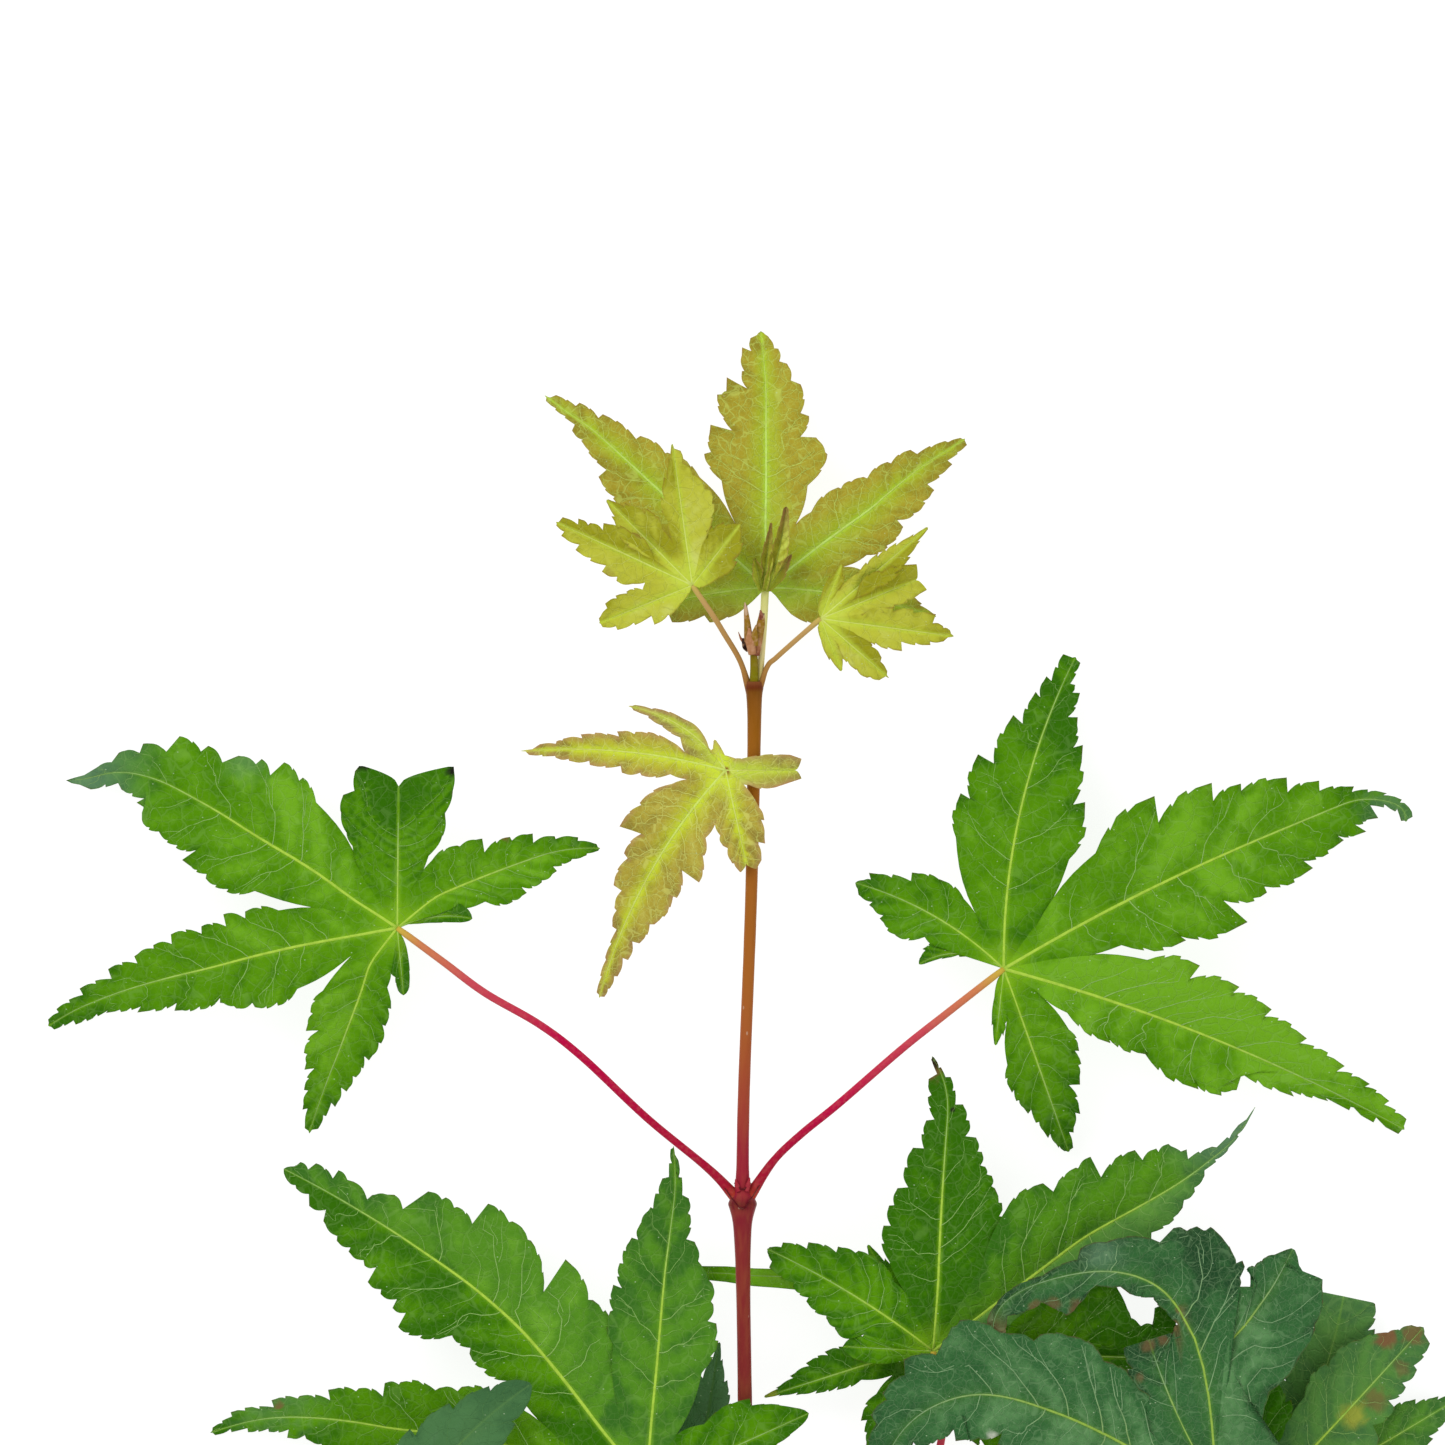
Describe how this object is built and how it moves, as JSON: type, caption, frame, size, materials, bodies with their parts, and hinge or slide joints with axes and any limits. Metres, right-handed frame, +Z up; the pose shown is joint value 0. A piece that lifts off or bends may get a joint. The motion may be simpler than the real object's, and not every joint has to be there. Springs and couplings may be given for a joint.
{
  "type": "leafy japanese maple shoot",
  "caption": "Cut leafy shoot of a young Japanese maple, lying flat, with serrated palmate leaves on thin stalks along a slender stem",
  "frame": {"origin": "on the floor under the middle of the shoot's outline, as it lies", "axes": "+Y along the stem from its cut end to its growing tip, +X to the right of it seen from above, +Z up, through the leaves' upper faces"},
  "size_m": [0.1858, 0.1902, 0.0184],
  "materials": {
    "mature_leaf": "satin leaf green",
    "dark_leaf": "bluish dark green, faint gloss",
    "deep_leaf": "shaded deep green",
    "young_leaf": "yellow olive, satin",
    "bronze_leaf": "bronze flushed with lime along the ribs",
    "stem": "smooth red brown bark",
    "red_stalk": "smooth carmine, paler towards the leaf",
    "young_stalk": "smooth olive brown",
    "pale_stalk": "smooth cream green",
    "bud": "papery brown pink"
  },
  "bodies": {
    "root": {"stem": "stem", "stalk_middle_left": "red_stalk", "stalk_middle_right": "red_stalk", "stalk_low_left": "red_stalk", "stalk_low_right": "red_stalk", "stalk_shaded": "red_stalk", "stalk_hooked": "red_stalk", "stalk_behind_stem": "red_stalk", "stalk_scorched": "red_stalk", "stalk_under": "red_stalk", "stalk_edge": "red_stalk", "stalk_top_left": "young_stalk", "stalk_top_right": "young_stalk", "stalk_top_front": "young_stalk", "tip_internode": "pale_stalk", "bud_stalk": "pale_stalk", "bud_scale_left": "bud", "bud_scale_right": "bud", "blade_middle_left": "mature_leaf", "blade_middle_right": "mature_leaf", "blade_low_left": "mature_leaf", "blade_low_right": "mature_leaf", "blade_under": "mature_leaf", "blade_scorched": "mature_leaf", "blade_edge": "mature_leaf", "blade_hooked": "dark_leaf", "blade_shaded": "deep_leaf", "blade_behind_stem": "deep_leaf", "blade_top_back": "bronze_leaf", "blade_top_front": "bronze_leaf", "blade_top_left": "young_leaf", "blade_top_right": "young_leaf", "leaflet_folded_left": "young_leaf", "leaflet_folded_right": "young_leaf"}
  },
  "joints": []
}
